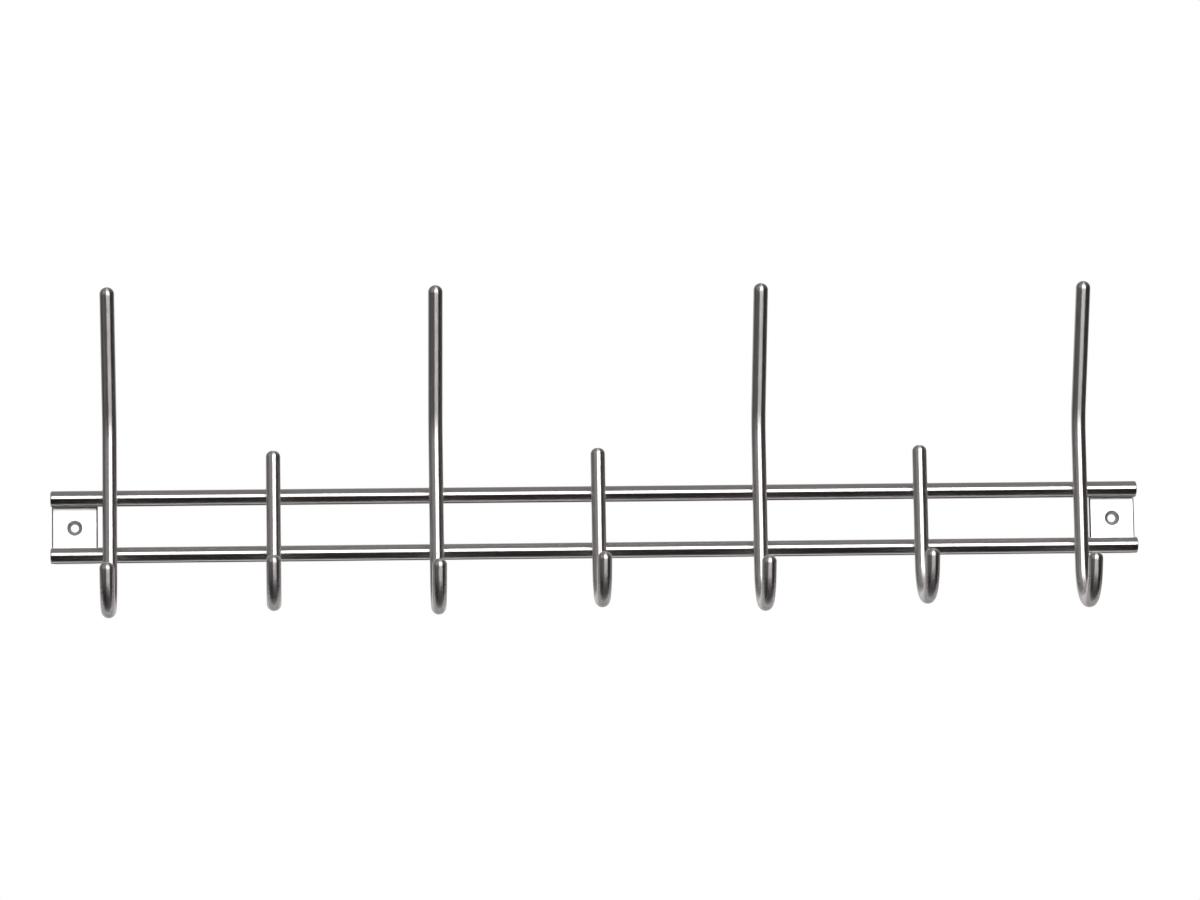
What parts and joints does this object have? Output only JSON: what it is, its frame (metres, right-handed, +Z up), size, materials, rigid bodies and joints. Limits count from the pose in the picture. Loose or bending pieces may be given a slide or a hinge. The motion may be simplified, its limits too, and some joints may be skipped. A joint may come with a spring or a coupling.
{
  "type": "wall hook rack",
  "caption": "Wall rack of two round steel rails with bent-rod coat hooks and long hat-and-coat hooks welded across them, screwed to the wall through a plate at each end.",
  "frame": {"origin": "on the wall plane, midway between the two screw holes", "axes": "+X along the rails, to the right for someone facing the rack; +Y into the wall; +Z up"},
  "size_m": [0.673, 0.0704, 0.2014],
  "materials": {
    "rail_steel": "polished round bar with fine grinding marks round it",
    "hook_steel": "polished round rod with fine grinding marks round it",
    "plate_steel": "satin strip, polished along its length",
    "weld_steel": "smooth weld, polished over"
  },
  "bodies": {
    "root": {"upper_rail": "rail_steel", "lower_rail": "rail_steel", "left_wall_plate": "plate_steel", "right_wall_plate": "plate_steel", "hat_hook_1": "hook_steel", "coat_hook_1": "hook_steel", "hat_hook_2": "hook_steel", "coat_hook_2": "hook_steel", "hat_hook_3": "hook_steel", "coat_hook_3": "hook_steel", "hat_hook_4": "hook_steel", "hat_hook_1_welds": "weld_steel", "coat_hook_1_welds": "weld_steel", "hat_hook_2_welds": "weld_steel", "coat_hook_2_welds": "weld_steel", "hat_hook_3_welds": "weld_steel", "coat_hook_3_welds": "weld_steel", "hat_hook_4_welds": "weld_steel", "left_plate_welds": "weld_steel", "right_plate_welds": "weld_steel"}
  },
  "joints": []
}
